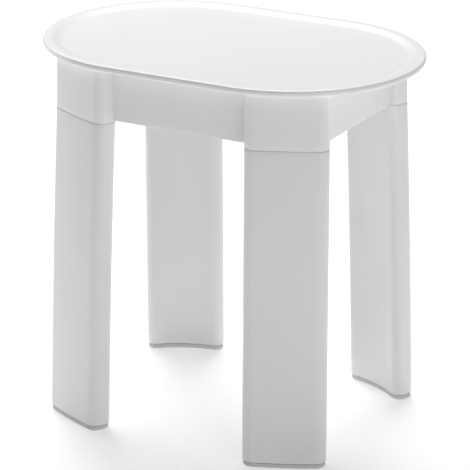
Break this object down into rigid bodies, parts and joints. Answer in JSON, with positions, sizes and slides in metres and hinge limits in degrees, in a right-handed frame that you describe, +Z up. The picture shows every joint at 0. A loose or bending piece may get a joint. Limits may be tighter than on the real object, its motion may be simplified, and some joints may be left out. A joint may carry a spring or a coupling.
{
  "type": "shower stool",
  "caption": "Backless bathroom stool: a rounded oblong seat with a shallow dished top, flat apron panels and broad splayed plug-in legs on soft grey foot pads.",
  "frame": {"origin": "on the floor under the middle of the seat", "axes": "+X along the seat, +Y across it towards the rear, +Z up"},
  "size_m": [0.43, 0.2926, 0.42],
  "materials": {
    "seat_plastic": "white, satin to semi-gloss moulded skin",
    "leg_plastic": "white, satin moulded skin",
    "pad_rubber": "matt mid grey, soft",
    "screw_steel": "plain stainless"
  },
  "bodies": {
    "root": {"seat": "seat_plastic", "leg_front_right": "leg_plastic", "leg_front_left": "leg_plastic", "leg_rear_left": "leg_plastic", "leg_rear_right": "leg_plastic", "foot_pad_front_right": "pad_rubber", "foot_pad_front_left": "pad_rubber", "foot_pad_rear_left": "pad_rubber", "foot_pad_rear_right": "pad_rubber", "leg_screws": "screw_steel"}
  },
  "joints": []
}
